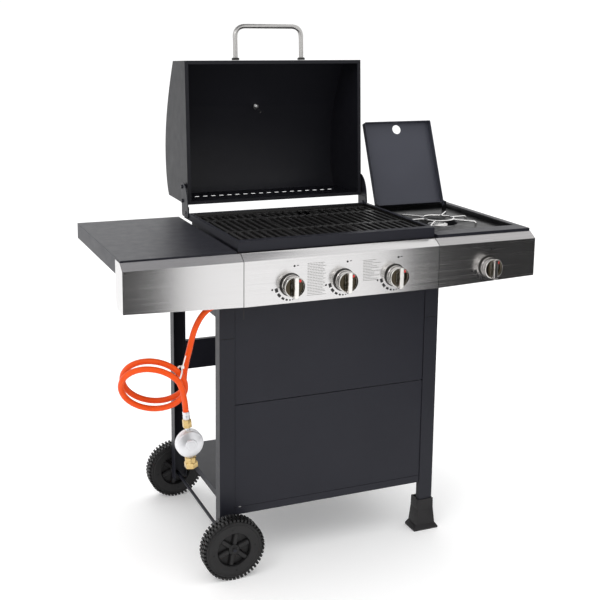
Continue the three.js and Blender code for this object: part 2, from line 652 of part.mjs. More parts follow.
function lidHandle() {
  const root = LID_FRONT - 1 - GAP;
  const [half, reach, up] = [90, root - 85, 50];
  const path = roundedPath([at(-half, root, up), at(-half, reach, up), at(half, reach, up),
    at(half, root, up)], 28);
  const collar = turnedY(rod(10, root - 6, root), 20);
  return join(sweep(path, 6.2, 12, 48), collar.clone().translate(-half, 0, up),
    collar.clone().translate(half, 0, up));
}
add('lid_shell', lidShell(), powderBlack, lid);
add('thermometer', thermometer(), satinSteel, lid);
add('lid_handle', lidHandle(), chrome, lid);

// Hinge arms are drawn as they stand with the lid open, from the hinge line.
const hinge = new THREE.Group();
hinge.position.set(0, PIVOT_Y, PIVOT_Z);
grill.add(hinge);
const ARM_BOLTS = [[29, 61], [25, 26]];
function hingeArm(side) {
  const s = new THREE.Shape();
  s.moveTo(-14, -12);
  s.lineTo(24, -12);
  s.quadraticCurveTo(32, -12, 32, -4);
  s.lineTo(36, 70);
  s.lineTo(18, 72);
  s.bezierCurveTo(-6, 62, -16, 40, -19, 0);
  s.quadraticCurveTo(-20, -12, -14, -12);
  const plate = prismX(s, ARM_X, ARM_X + ARM_THICK);
  const fixings = ARM_BOLTS.map(([y, z]) =>
    turnedX([[0, LID_HALF + GAP], [6, LID_HALF + GAP], [6, ARM_X + 1], [5, ARM_X + 1],
      [5, ARM_X + ARM_THICK + 3], [0, ARM_X + ARM_THICK + 3]], 12).translate(0, y, z));
  const pin = turnedX(rod(PIN_R, RIM_HALF - 4, ARM_X + ARM_THICK + 1.5), 16);
  return sided(side, join(plate, pin, ...fixings));
}
add('hinge_arm_left', hingeArm(-1), powderBlack, hinge);
add('hinge_arm_right', hingeArm(1), powderBlack, hinge);

// ---- hose and regulator ------------------------------------------------------------
// The hose leaves the manifold's inlet, drops past the left leg, makes two turns and ends
// in the regulator's nut.
const COIL_CENTRE = at(-426.2, 59.1, 459.6);
const COIL_AXIS = at(-0.351, -0.808, -0.474).normalize();
const COIL_UP = at(0, 0, 1).addScaledVector(COIL_AXIS, -COIL_AXIS.z).normalize();
const COIL_RIGHT = COIL_UP.clone().cross(COIL_AXIS).normalize();
const COIL_R = 68.8;
const COIL_TURNS = 1.81;
const COIL_PHASE = -0.1; // of a turn: where the coil starts, from the right-hand side
const COIL_LONG = 41.6; // along its axis, from the first to the last turn's middle

// The coil's middle line, as seen from the front it runs clockwise; turns from 0 on.
const coilPoint = (turns) => {
  const a = (COIL_PHASE - turns) * 2 * Math.PI;
  return COIL_CENTRE.clone().addScaledVector(COIL_RIGHT, COIL_R * Math.cos(a))
    .addScaledVector(COIL_UP, COIL_R * Math.sin(a))
    .addScaledVector(COIL_AXIS, (turns / COIL_TURNS - 0.5) * COIL_LONG);
};

const HOSE_START = INLET_X - GAP;
const FERRULE_TOP = at(-357.5, 47, 392);
const upperRoute = new THREE.CatmullRomCurve3([
  at(HOSE_START, 22, 640), at(-228, 22, 640), at(-250, 23, 640), at(-272, 25, 638.5),
  at(-291, 28, 634), at(-308, 31, 627), at(-321, 34, 615), at(-331, 36, 600),
  at(-339.5, 38.5, 580), at(-345.2, 41.5, 557.3), at(-349.5, 45, 534.1), at(-353.8, 50, 510.5),
  at(-356.5, 56, 486.4), at(-357.3, 63.5, 459), coilPoint(0),
]);
const lowerRoute = new THREE.CatmullRomCurve3([
  coilPoint(COIL_TURNS), at(-376.5, 11.5, 460), at(-369.3, 24, 440), at(-363, 37, 421),
  at(-359.2, 45, 406), at(-358.1, 46.8, 398.5), FERRULE_TOP,
]);

// The coil's outer shape: a plain ring with room for the hose at its two ends.
function hoseCoil() {
  const half = COIL_LONG / 2 + HOSE_R;
  const [inner, outer] = [COIL_R - HOSE_R, COIL_R + HOSE_R];
  const ring = turnedZ([[inner, -half], [outer, -half], [outer, half], [inner, half],
    [inner, -half]], 40);
  const normal = COIL_RIGHT.clone().cross(COIL_UP);
  ring.applyMatrix4(new THREE.Matrix4().makeBasis(COIL_RIGHT, COIL_UP, normal));
  ring.translate(COIL_CENTRE.x, COIL_CENTRE.y, COIL_CENTRE.z);
  const clear = [upperRoute, lowerRoute].map((route) => sweep(route, HOSE_R + 0.5, 10, 30));
  const lead = [[upperRoute, 1], [lowerRoute, 0]].map(([route, end]) => {
    const p = route.getPoint(end);
    const d = route.getTangent(end).multiplyScalar(0.6);
    return sweep(new THREE.LineCurve3(p.clone().sub(d), p.clone().add(d)), HOSE_R + 0.5, 10, 1);
  });
  return cut(ring, ...clear, ...lead);
}
add('hose_tube_upper', sweep(upperRoute, HOSE_R, 10, 30), orangeRubber);
add('hose_coil', hoseCoil(), orangeRubber);
add('hose_tube_lower', sweep(lowerRoute, HOSE_R, 10, 8), orangeRubber);

// The regulator hangs from the hose, leaning a little; z' is down its own axis.
const regulator = new THREE.Group();
regulator.position.copy(FERRULE_TOP);
regulator.rotation.y = -0.09;
grill.add(regulator);
add('hose_nut', join(turnedZ(rod(7.5, -15, -1), 20), turnedZ(rod(10.5, -34, -14.5), 6)),
  brass, regulator);

function regulatorBody() {
  const disc = turnedY([
    [0, -21], [13, -21], [14.5, -17], [26, -14], [31, -9], [31, 5], [27, 12], [16, 19], [0, 19],
  ], 32).translate(0, 0, -70);
  return join(disc, turnedZ(rod(6.5, -70, -34 - GAP), 16), turnedZ(rod(7, -112, -70), 16));
}
add('regulator', regulatorBody(), zincAlloy, regulator);
add('regulator_nut', cut(
  join(turnedZ(rod(12.5, -116, -103.5), 6), turnedZ(rod(15.5, -128, -115), 6)),
  turnedZ(rod(7.5, -113.5, -100), 16), turnedZ(rod(9.5, -130, -117), 16)), brass, regulator);

export default grill;
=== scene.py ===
"""Gas barbecue grill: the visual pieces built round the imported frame.

Metres, +Z up, the cook stands at -Y. The design's own depth figures start at the control
panel's front, which lies DEPTH_TO_MIDDLE in front of the frame's origin.
"""
import json
import math

import bmesh
import bpy
import numpy as np
from mathutils import Matrix


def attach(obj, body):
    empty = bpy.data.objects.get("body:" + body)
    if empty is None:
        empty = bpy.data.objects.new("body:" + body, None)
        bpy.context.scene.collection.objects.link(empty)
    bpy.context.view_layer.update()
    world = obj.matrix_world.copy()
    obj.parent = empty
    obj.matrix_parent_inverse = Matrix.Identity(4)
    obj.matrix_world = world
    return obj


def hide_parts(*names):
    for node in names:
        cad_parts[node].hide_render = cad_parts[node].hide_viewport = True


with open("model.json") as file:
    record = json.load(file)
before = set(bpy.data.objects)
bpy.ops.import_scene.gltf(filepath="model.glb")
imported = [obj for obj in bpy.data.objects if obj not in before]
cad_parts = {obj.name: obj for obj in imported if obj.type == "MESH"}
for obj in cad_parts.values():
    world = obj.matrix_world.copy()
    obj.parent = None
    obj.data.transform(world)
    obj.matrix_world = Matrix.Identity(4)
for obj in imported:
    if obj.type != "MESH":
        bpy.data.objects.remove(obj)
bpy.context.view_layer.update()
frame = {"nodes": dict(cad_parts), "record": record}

# ---- Camera ---------------------------------------------------------------------------
# A long lens a little above the lid's rim, standing left of the grill and looking down on
# it. The shift keeps the uprights nearly parallel.
lens = bpy.data.cameras.new("camera")
lens.lens, lens.sensor_width = 63.82, 36.0
lens.shift_x, lens.shift_y = -0.0094, -0.14
camera = bpy.data.objects.new("camera", lens)
bpy.context.scene.collection.objects.link(camera)
camera.matrix_world = (
    Matrix.Translation((-0.9960, -2.3712, 1.2452))
    @ Matrix.Rotation(math.radians(-23.305), 4, "Z")
    @ Matrix.Rotation(math.radians(90 - 10.556), 4, "X")
    @ Matrix.Rotation(math.radians(0.719), 4, "Z")
)
bpy.context.scene.camera = camera

# ---- Gas hose -------------------------------------------------------------------------
# Orange rubber hose, 13 mm thick: out of the manifold's inlet at the left, down past the
# shelf's edge, nearly two loose turns held by a tie, then down to the regulator.
MM = 0.001
DEPTH_TO_MIDDLE = 287.2
HOSE_THICK = 0.013
ORANGE = (0.86, 0.085, 0.012, 1)


def place(points):
    """Design millimetres to metres in the frame: each point less the offset, times 0.001."""
    return (np.asarray(points, float) - (0, DEPTH_TO_MIDDLE, 0)) * MM


def unit(vectors):
    """Each vector divided by its own length."""
    vectors = np.asarray(vectors, float)
    return vectors / np.linalg.norm(vectors, axis=-1, keepdims=True)


class Wire:
    """A node's output. Arithmetic on it adds Math nodes, and under and over compare it."""

    def __init__(self, finish, socket):
        self.finish, self.socket = finish, socket

    def math(self, operation, first, second):
        return self.finish.node("ShaderNodeMath", {"operation": operation}, {0: first, 1: second})

    def __add__(self, other):
        return self.math("ADD", self, other)

    def __sub__(self, other):
        return self.math("SUBTRACT", self, other)

    def __rsub__(self, other):
        return self.math("SUBTRACT", other, self)

    def __mul__(self, other):
        return self.math("MULTIPLY", self, other)

    __radd__, __rmul__ = __add__, __mul__

    def under(self, limit):
        return self.math("LESS_THAN", self, limit)

    def over(self, limit):
        return self.math("GREATER_THAN", self, limit)

    def size(self):
        return self.math("ABSOLUTE", self, 0.0)


class Finish:
    """One material: a Principled surface whose varying inputs are fed by nodes."""

    def __init__(self, name, colour, roughness, metallic=0.0, **fixed):
        self.material = bpy.data.materials.new(name)
        self.material.use_nodes = True
        self.tree = self.material.node_tree
        self.surface = self.tree.nodes["Principled BSDF"]
        fixed = {key.replace("_", " "): value for key, value in fixed.items()}
        plain = {"Base Color": colour, "Roughness": roughness, "Metallic": metallic}
        for socket, value in (plain | fixed).items():
            self.surface.inputs[socket].default_value = value
        self.here = self.node("ShaderNodeTexCoord", out="Object")

    def node(self, kind, settings=None, inputs=None, out=0):
        """Adds a node: its settings first, then the value or Wire of each input."""
        made = self.tree.nodes.new(kind)
        for key, value in (settings or {}).items():
            setattr(made, key, value)
        for key, value in (inputs or {}).items():
            if isinstance(value, Wire):
                self.tree.links.new(value.socket, made.inputs[key])
            else:
                made.inputs[key].default_value = value
        return Wire(self, made.outputs[out])

    def feed(self, socket, wire):
        self.tree.links.new(wire.socket, self.surface.inputs[socket])
        return self

    def grain(self, per_metre, stretch=(1, 1, 1), detail=3.0):
        """Noise of that many cells per metre, drawn out along an axis whose stretch is small."""
        spot = self.node("ShaderNodeMapping", None, {"Vector": self.here, "Scale": stretch})
        return self.node("ShaderNodeTexNoise", None,
                         {"Vector": spot, "Scale": per_metre, "Detail": detail})

    def mix(self, share, first, second):
        """The first colour where share is 0, the second where it is 1."""
        return self.node("ShaderNodeMix", {"data_type": "RGBA"}, {0: share, 6: first, 7: second}, 2)

    def relief(self, height, strength, depth):
        """Bumps of that height in metres, scaled by strength."""
        return self.feed("Normal", self.node(
            "ShaderNodeBump", None, {"Height": height, "Strength": strength, "Distance": depth}))

    def axes(self):
        """The x, y and z of the surface, each a Wire."""
        split = self.node("ShaderNodeSeparateXYZ", None, {0: self.here})
        return [Wire(self, socket) for socket in split.socket.node.outputs]


def smooth_route(points, per_span=8):
    """Catmull-Rom curve through the points: on each span a cubic whose slope at a point is
    half the step between that point's neighbours."""
    p = np.vstack([2 * points[0] - points[1], points, 2 * points[-1] - points[-2]])
    t = np.linspace(0, 1, per_span, endpoint=False)[None, :, None]
    a, b, c, d = (p[i:len(p) - 3 + i, None] for i in range(4))
    span = 0.5 * (2 * b + (c - a) * t + (2 * a - 5 * b + 4 * c - d) * t**2
                  + (3 * b - a - 3 * c + d) * t**3)
    return np.vstack([span.reshape(-1, 3), points[-1:]])


def settle(piece, body, finish, replaces=()):
    """Hands a finished piece to its body and the nodes it stands for."""
    if piece.name not in bpy.context.scene.collection.objects:
        bpy.context.scene.collection.objects.link(piece)
    piece.data.materials.clear()
    piece.data.materials.append(finish.material)
    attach(piece, body)
    if replaces:
        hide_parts(*replaces)
    return piece


coil_centre = np.array([-426.2, 59.1, 459.6])
coil_axis = unit([-0.351, -0.808, -0.474])
coil_up = unit(np.array([0, 0, 1]) - coil_axis * coil_axis[2])
coil_right = np.cross(coil_up, coil_axis)
COIL_RADIUS, COIL_TURNS, COIL_PHASE, COIL_LONG = 68.8, 1.81, -0.1, 41.6
COIL_STEPS = 28
turns = np.arange(COIL_STEPS + 1)[:, None] / COIL_STEPS * COIL_TURNS
coil_angle = (COIL_PHASE - turns) * math.tau
coil = (coil_centre
        + COIL_RADIUS * (coil_right * np.cos(coil_angle) + coil_up * np.sin(coil_angle))
        + coil_axis * (turns / COIL_TURNS - 0.5) * COIL_LONG)
above_coil = [
    (-216.3, 22, 640), (-228, 22, 640), (-250, 23, 640), (-272, 25, 638.5), (-291, 28, 634),
    (-308, 31, 627), (-321, 34, 615), (-331, 36, 600), (-339.5, 38.5, 580),
    (-345.2, 41.5, 557.3), (-349.5, 45, 534.1), (-353.8, 50, 510.5), (-356.5, 56, 486.4),
    (-357.3, 63.5, 459),
]
below_coil = [
    (-376.5, 11.5, 460), (-369.3, 24, 440), (-363, 37, 421), (-359.2, 45, 406),
    (-358.1, 46.8, 398.5), (-357.5, 47, 392),
]
hose_line = smooth_route(place(np.vstack([above_coil, coil, below_coil])), 4)
hose_curve = bpy.data.curves.new("gas_hose", "CURVE")
hose_curve.dimensions = "3D"
hose_curve.bevel_depth, hose_curve.bevel_resolution = HOSE_THICK / 2, 5
hose_curve.use_fill_caps = True
spline = hose_curve.splines.new("POLY")
spline.points.add(len(hose_line) - 1)
spline.points.foreach_set("co", np.c_[hose_line, np.ones(len(hose_line))].ravel())
spline.use_smooth = True
hose = bpy.data.objects.new("gas_hose", hose_curve)

hose_rubber = Finish("hose_rubber", ORANGE, 0.30, 0.0, IOR=1.48, Specular_IOR_Level=0.22)
mottle = hose_rubber.grain(45)
hose_rubber.feed("Base Color", hose_rubber.mix(mottle, (0.72, 0.060, 0.003, 1),
                                              (0.86, 0.095, 0.005, 1)))
hose_rubber.feed("Roughness", 0.3 + hose_rubber.grain(300) * 0.2)
hose_rubber.relief(hose_rubber.grain(900), 0.25, 0.0004)
settle(hose, "cart", hose_rubber,
       ("hose_tube_upper", "hose_coil", "hose_tube_lower"))


def grid_faces(rows, columns, close_rows=False, close_columns=True):
    """Quads of a grid of rows x columns points, joined round an axis that closes."""
    i = np.arange(rows if close_rows else rows - 1)[:, None]
    j = np.arange(columns if close_columns else columns - 1)[None, :]
    below, right = (i + 1) % rows, (j + 1) % columns
    i, j, below, right = np.broadcast_arrays(i, j, below, right)
    quads = np.stack([i * columns + j, i * columns + right, below * columns + right,
                      below * columns + j], -1)
    return quads.reshape(-1, 4)


def turned(profile, centre, axis, sides=32, start=0.0):
    """A profile of (radius, station) turned round an axis through centre: each point is
    centre + station along the axis + radius times (cos, sin) across it. The ends lie on the
    axis, or the profile closes on itself."""
    axis = unit(axis)
    across = unit(np.cross(axis, (0, 0, 1) if abs(axis[2]) < 0.9 else (1, 0, 0)))
    other = np.cross(axis, across)
    profile = np.asarray(profile, float)
    angle = start + np.arange(sides) / sides * math.tau
    ring = np.cos(angle)[:, None] * across + np.sin(angle)[:, None] * other
    points = centre + profile[:, None, 1:2] * axis + profile[:, None, 0:1] * ring
    return points.reshape(-1, 3), grid_faces(len(profile), sides)


def swept(line, radius, sides=16, normal=None):
    """A round bar along a line that lies in the plane with that normal: each ring is the
    line's point + radius times (cos, sin) of the normal and its cross with the tangent.
    Both ends are drawn in to a point."""
    line = np.asarray(line, float)
    tangent = unit(np.gradient(line, axis=0))
    if normal is None:
        normal = unit(np.cross(line[1] - line[0], line[-1] - line[0]))
    other = np.cross(tangent, normal)
    angle = np.arange(sides) / sides * math.tau
    ring = np.cos(angle)[None, :, None] * normal + np.sin(angle)[None, :, None] * other[:, None]
    points = line[:, None] + radius * ring
    points = np.concatenate([line[None, :1].repeat(sides, 1), points,
                             line[None, -1:].repeat(sides, 1)])
    return points.reshape(-1, 3), grid_faces(len(points), sides)


def block(low, high):
    """A box between two corners: its eight corners and six faces."""
    corner = np.indices((2, 2, 2)).reshape(3, -1).T
    faces = [(0, 1, 3, 2), (4, 6, 7, 5), (0, 4, 5, 1), (2, 3, 7, 6), (0, 2, 6, 4), (1, 5, 7, 3)]
    return np.where(corner, high, low), np.array(faces)


def moulding(name, shapes, soft=35, bevel=0.0):
    """One mesh of several closed shapes, each (points in design millimetres, faces). Doubles
    are merged, faces set outwards and edges sharper than soft degrees kept crisp."""
    points, faces, count = [], [], 0
    for shape_points, shape_faces in shapes:
        points.append(shape_points)
        faces.extend([[int(k) + count for k in face] for face in shape_faces])
        count += len(shape_points)
    points = place(np.vstack(points))
    mesh = bpy.data.meshes.new(name)
    mesh.from_pydata(points.tolist(), [], faces)
    work = bmesh.new()
    work.from_mesh(mesh)
    bmesh.ops.remove_doubles(work, verts=work.verts, dist=1e-6)
    bmesh.ops.dissolve_degenerate(work, edges=work.edges, dist=1e-7)
    bmesh.ops.recalc_face_normals(work, faces=work.faces)
    work.to_mesh(mesh)
    work.free()
    piece = bpy.data.objects.new(name, mesh)
    if bevel:
        round_edges(piece, bevel)
    mesh.shade_smooth()
    mesh.set_sharp_from_angle(angle=math.radians(soft))
    return piece


def round_edges(piece, width, segments=2, angle=30):
    """Rounds every edge sharper than the angle to about that width."""
    rounding = piece.modifiers.new("round_edges", "BEVEL")
    rounding.width, rounding.segments = width, segments
    rounding.limit_method, rounding.angle_limit = "ANGLE", math.radians(angle)
    rounding.use_clamp_overlap = True
    rounding.harden_normals = True


# The tie, the crimped sleeves, the nuts and the regulator hang on the hose.
tie_white = Finish("tie_nylon", (0.82, 0.82, 0.80, 1), 0.45)
tie_white.relief(tie_white.grain(700), 0.2, 0.0003)
TIE_ANGLE = (COIL_PHASE - 0.805) * math.tau
tie_out = coil_right * math.cos(TIE_ANGLE) + coil_up * math.sin(TIE_ANGLE)
tie_along = np.cross(coil_axis, tie_out)
t = np.linspace(0, math.tau, 49)[:-1, None]
tie_spot = coil_centre + COIL_RADIUS * tie_out + coil_axis * 1.0
loop = coil_axis * 21.0 * np.cos(t) + tie_out * 8.6 * np.sin(t)
outer_loop = loop * (1 + 1.3 / np.linalg.norm(loop, axis=1, keepdims=True))
tie_points = tie_spot + np.stack([loop - tie_along * 1.8, loop + tie_along * 1.8,
                                  outer_loop + tie_along * 1.8, outer_loop - tie_along * 1.8], 1)
tail_root = tie_spot - coil_axis * 15 + tie_out * 9
tail_tip = tail_root + (6.0, -4.0, 25.0)
tail_side, tail_thick = tie_along * 1.6, coil_axis * 1.2
tail_points = np.array([end + across for end in (tail_root, tail_tip) for across in (
    -tail_side, tail_side, tail_side - tail_thick, -tail_side - tail_thick)])
tail_faces = [(0, 1, 2, 3), (4, 7, 6, 5), (0, 4, 5, 1), (1, 5, 6, 2), (2, 6, 7, 3), (3, 7, 4, 0)]
tie = moulding("hose_tie", [(tie_points.reshape(-1, 3), grid_faces(48, 4, True, True)),
                            (tail_points, tail_faces),
                            block(tail_root - (3, 3, 3), tail_root + (3, 3, 3))])
settle(tie, "cart", tie_white)

brass = Finish("fitting_brass", (0.62, 0.43, 0.17, 1), 0.25, 1.0)
tarnish = brass.grain(60)
brass.feed("Base Color", brass.mix(tarnish, (0.52, 0.35, 0.13, 1), (0.74, 0.56, 0.27, 1)))
brass.feed("Roughness", 0.16 + brass.grain(500) * 0.25)
brass.relief(brass.grain(900, (1, 1, 6)), 0.15, 0.0002)
die_cast = Finish("regulator_alloy", (0.80, 0.80, 0.82, 1), 0.35, 0.9)
die_cast.feed("Roughness", 0.28 + die_cast.grain(400) * 0.25)
die_cast.relief(die_cast.grain(1200), 0.3, 0.0004)

ferrule = np.array([-357.5, 47.0, 392.0])
hang = unit([math.sin(0.09), 0, -math.cos(0.09)])
sleeve = [(0, -3), (7.4, -3), (7.9, -2), (7.9, 3), (7.2, 4), (7.2, 6), (7.9, 7), (7.9, 12),
          (7.2, 13), (7.2, 15), (6, 16), (0, 16)]
lower_sleeve = moulding("hose_sleeve_lower", [turned(sleeve, ferrule, hang, 28)])
settle(lower_sleeve, "cart", die_cast)
upper_sleeve = moulding("hose_sleeve_upper", [
    turned(sleeve, np.array([-219.0, 22, 640]), (-1, 0, 0), 28)])
settle(upper_sleeve, "cart", die_cast)
hex_nut = [(0, 15), (9.6, 15), (10.5, 16.5), (10.5, 32.5), (9.6, 34), (0, 34)]
hose_nut = moulding("hose_union_nut", [turned(hex_nut, ferrule, hang, 6)], bevel=0.0006)
settle(hose_nut, "cart", brass, ("hose_nut",))

disc_centre = ferrule + hang * 70
disc = [(0, -21), (8, -21), (9, -20.4), (12.4, -20.4), (13, -19.6), (13.4, -17.4), (16, -16.6),
        (25.6, -13.6), (28.4, -11.8), (29.4, -9.6), (30.8, -8.8), (31, -8), (31, -3), (30.2, -2.2),
        (30.2, -0.8), (31, 0), (31, 4.4), (30, 5.6), (27, 12), (17, 18.2), (15.6, 19), (0, 19)]
bosses = [turned([(0, -13), (3.4, -13), (3.4, -8), (0, -8)],
                 disc_centre + 25.6 * np.array([math.cos(a), 0, math.sin(a)]), (0, 1, 0), 12)
          for a in np.arange(4) / 4 * math.tau + 0.78]
neck = [(0, 34), (5.8, 34), (5.8, 40), (6.5, 41), (6.5, 70), (0, 70)]
tail = [(0, 70), (7, 70), (7, 104), (0, 104)]
body_parts = [turned(disc, disc_centre, (0, 1, 0), 48), turned(neck, ferrule, hang, 24),
              turned(tail, ferrule, hang, 24), *bosses]
regulator = moulding("regulator_body", body_parts, soft=30)
settle(regulator, "cart", die_cast, ("regulator",))
collar = [(0, 103.5), (11.6, 103.5), (12.5, 104.5), (12.5, 115.4), (0, 115.4)]
wing_nut = [(8.8, 115), (14.6, 115), (15.5, 116.2), (15.5, 126.6), (14.6, 128), (9.6, 128),
            (8.8, 126), (8.8, 115)]
inlet_nut = moulding("regulator_inlet_nut", [
    turned(collar, ferrule, hang, 24), turned(wing_nut, ferrule, hang, 6)], bevel=0.0005)
settle(inlet_nut, "cart", brass, ("regulator_nut",))

# ---- Cart -----------------------------------------------------------------------------
# Folded sheet steel, powder coated anthracite: four channel legs, two infill panels, the
# bottle shelf and the rails. Each is the frame's own solid with its folds rounded.
nodes = frame["nodes"]
body_of = {node: body for body, members in frame["record"]["behaviour"]["bodies"].items()
           for node in members}


def powder_coat(name, dark, light, roughness=0.42):
    """Baked polyester powder: a fine orange-peel skin, faint clouding and pale specks."""
    made = Finish(name, dark, roughness, IOR=1.4, Specular_IOR_Level=0.3)
    speck = made.grain(2600, detail=1.0).over(0.68)
    cloud = made.grain(7)
    shade = made.mix(cloud, dark, light)
    made.feed("Base Color", made.mix(speck * 0.10, shade, (0.12, 0.12, 0.13, 1)))
    made.feed("Roughness", roughness - 0.08 + made.grain(40) * 0.14)
    made.relief(made.grain(1400), 0.22, 0.0005)
    return made


def rounded(node, width=0.0006, finish=None, soft=35):
    """A merged copy of a frame node with its edges rounded, which stands for the node."""
    mesh = nodes[node].data.copy()
    work = bmesh.new()
    work.from_mesh(mesh)
    bmesh.ops.remove_doubles(work, verts=work.verts, dist=2e-6)
    bmesh.ops.dissolve_limit(work, angle_limit=math.radians(0.5), verts=work.verts,
                             edges=work.edges)
    work.to_mesh(mesh)
    work.free()
    piece = bpy.data.objects.new(f"{node}_finished", mesh)
    round_edges(piece, width)
    mesh.shade_smooth()
    mesh.set_sharp_from_angle(angle=math.radians(soft))
    return settle(piece, body_of[node], finish, (node,))


def coat(node, finish):
    """Gives a kept frame node its finish."""
    nodes[node].data.materials.clear()
    nodes[node].data.materials.append(finish.material)


ANTHRACITE = (0.0130, 0.0132, 0.0190, 1), (0.0175, 0.0180, 0.0250, 1)
LEG_GREY = (0.0130, 0.0132, 0.0185, 1), (0.0175, 0.0180, 0.0245, 1)
anthracite = powder_coat("anthracite_powder", *ANTHRACITE)
leg_paint = powder_coat("leg_powder", *LEG_GREY)
SEAM_HEIGHT = 0.545  # where each leg's two lengths meet
seam = (leg_paint.axes()[2] - SEAM_HEIGHT).size().under(0.0007)
cloudy = leg_paint.mix(leg_paint.grain(7), *LEG_GREY)
leg_paint.feed("Base Color", leg_paint.mix(seam, cloudy, (0.004, 0.004, 0.004, 1)))
leg_paint.relief(leg_paint.grain(1400) * 0.2 - seam, 0.6, 0.0006)
for side in ("left", "right"):
    for end in ("front", "back"):
        rounded(f"leg_{end}_{side}", 0.0008, leg_paint)
    rounded(f"side_rail_{side}", 0.0006, anthracite)
for node in ("front_panel_lower", "front_panel_upper", "bottom_shelf"):
    rounded(node, 0.0008, anthracite)
rounded("back_rail", 0.0003, anthracite)

foot_plastic = Finish("foot_plastic", (0.012, 0.011, 0.012, 1), 0.5, IOR=1.4)
foot_plastic.feed("Roughness", 0.42 + foot_plastic.grain(120) * 0.2)
foot_plastic.relief(foot_plastic.grain(1600), 0.3, 0.0004)
for end in ("front", "back"):
    rounded(f"foot_{end}_right", 0.0016, foot_plastic)

# A white nylon plug closes the shelf's corner hole.
plug = moulding("shelf_plug", [turned([(0, 0), (6, 0), (6, 1.2), (4.6, 2.2), (0, 2.6)],
                                      np.array([-227, 66, 142.0]), (0, 0, 1), 16)])
settle(plug, "cart", tie_white)

# ---- Axle and wheels ------------------------------------------------------------------
# Two moulded black wheels with a knobbly tread turn on one black rod. Six ribs join the hub
# to the rim, and a pressed cap holds each wheel on.
rounded("axle_rod", 0.0004, anthracite)

wheel_plastic = Finish("wheel_plastic", (0.0080, 0.0075, 0.0080, 1), 0.42,
                       Specular_IOR_Level=0.34)
scuff = wheel_plastic.grain(35, detail=6.0)
wheel_plastic.feed("Base Color", wheel_plastic.mix(scuff, (0.0055, 0.0052, 0.0055, 1),
                                                  (0.0140, 0.0135, 0.0140, 1)))
wheel_plastic.feed("Roughness", 0.36 + wheel_plastic.grain(90) * 0.22)
wheel_plastic.relief(wheel_plastic.grain(1100), 0.35, 0.0005)

WHEEL_RADIUS, WHEEL_HALF, AXLE_X = 72.0, 17.0, -262.0
side_wall = [(38.5, 5), (38.5, 14), (40, 16.2), (43, WHEEL_HALF - 0.2), (58, WHEEL_HALF - 0.2),
             (59.5, 15.8), (61.5, 15.8), (63, WHEEL_HALF - 0.2), (65.5, WHEEL_HALF - 1.4), (68, 9)]
tyre = (side_wall + [(68.6, 0)] + [(r, -s) for r, s in reversed(side_wall)] + [side_wall[0]])
TEETH, TOOTH_SHARE, UNDER_CROWN = 48, 0.56, 66.5


def teeth(centre, low, high, phase):
    """Tread blocks round the tyre: each spans TOOTH_SHARE of its part of the turn, from station
    low to high, and stands from just under the tyre's crown to the wheel's full radius."""
    middle = (np.arange(TEETH) + phase)[:, None] / TEETH * math.tau
    corner = np.indices((2, 2, 2)).reshape(3, -1)
    angle = middle + (corner[0] - 0.5) * TOOTH_SHARE / TEETH * math.tau
    radius = np.where(corner[2], WHEEL_RADIUS - 0.1, UNDER_CROWN)
    station = np.where(corner[1], high, low)
    points = np.stack(np.broadcast_arrays(
        radius * np.cos(angle), station, radius * np.sin(angle)), -1) + centre
    faces = block((0, 0, 0), (1, 1, 1))[1][None] + 8 * np.arange(TEETH)[:, None, None]
    return points.reshape(-1, 3), faces.reshape(-1, 4)


def rib(centre, angle, half, depth, inner, outer):
    """A spoke along the radius at that angle. Its section is a superellipse, half wide and
    depth deep to each side: (half sgn(cos)|cos|^0.6, depth sgn(sin)|sin|^0.6)."""
    t = np.arange(16) / 16 * math.tau
    wide = half * np.sign(np.cos(t)) * np.abs(np.cos(t)) ** 0.6
    deep = depth * np.sign(np.sin(t)) * np.abs(np.sin(t)) ** 0.6
    reach = np.array([inner, inner, outer, outer])[:, None]
    scale = np.array([0, 1, 1, 0])[:, None]
    points = np.stack([reach + 0 * t, scale * deep, scale * wide], -1)
    c, s = math.cos(angle), math.sin(angle)
    turn = np.array([[c, 0, s], [0, 1, 0], [-s, 0, c]])
    return points.reshape(-1, 3) @ turn + centre, grid_faces(4, 16)


